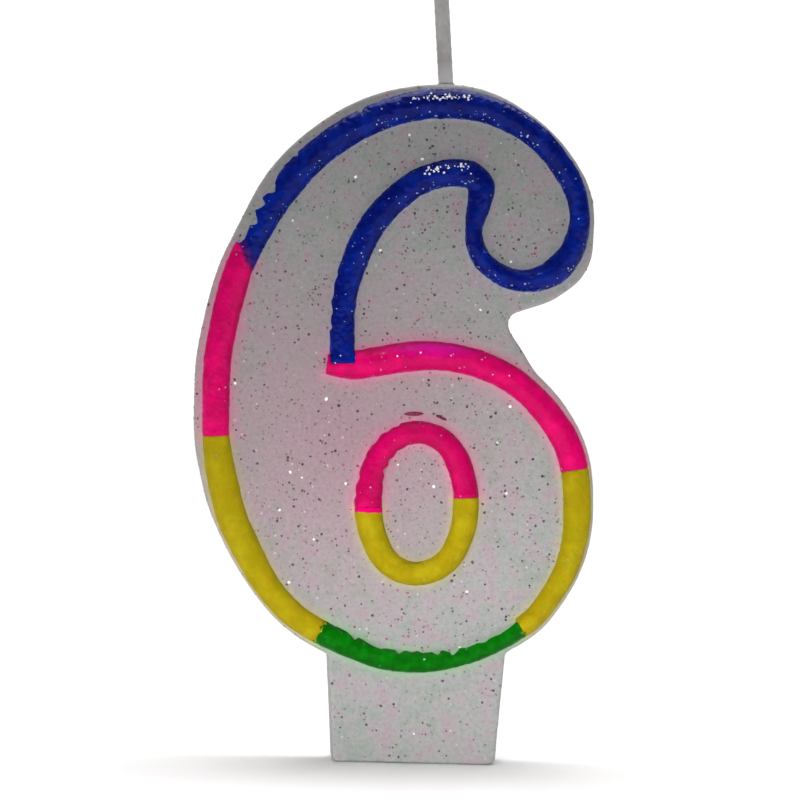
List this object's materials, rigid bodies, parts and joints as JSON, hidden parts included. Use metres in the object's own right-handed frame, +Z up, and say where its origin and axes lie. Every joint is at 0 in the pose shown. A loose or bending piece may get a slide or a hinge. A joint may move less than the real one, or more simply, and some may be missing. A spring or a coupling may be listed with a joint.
{
  "type": "number birthday candle",
  "caption": "Flat white glitter wax candle in the shape of the numeral 6, with a raised outline painted in colours, a tapered wax stem and a cotton wick in the top.",
  "frame": {"origin": "middle of the flat foot of the stem, halfway through the slab's thickness", "axes": "+Z up along the stem towards the wick, +X to the right seen from the front, the painted front faces -Y"},
  "size_m": [0.0447, 0.0095, 0.0886],
  "materials": {
    "white_wax": "translucent white paraffin wax with fine glitter, satin",
    "wick_cotton": "braided cotton with a thin wax film",
    "blue_wax": "glossy dark blue wax paint",
    "pink_wax": "glossy hot pink wax paint",
    "yellow_wax": "glossy translucent yellow wax paint",
    "green_wax": "glossy green wax paint"
  },
  "bodies": {
    "root": {"wax_body": "white_wax", "wick": "wick_cotton", "blue_outline_coat": "blue_wax", "pink_left_coat": "pink_wax", "yellow_left_coat": "yellow_wax", "green_base_coat": "green_wax", "yellow_right_coat": "yellow_wax", "pink_right_coat": "pink_wax", "pink_counter_coat": "pink_wax", "yellow_counter_coat": "yellow_wax"}
  },
  "joints": []
}
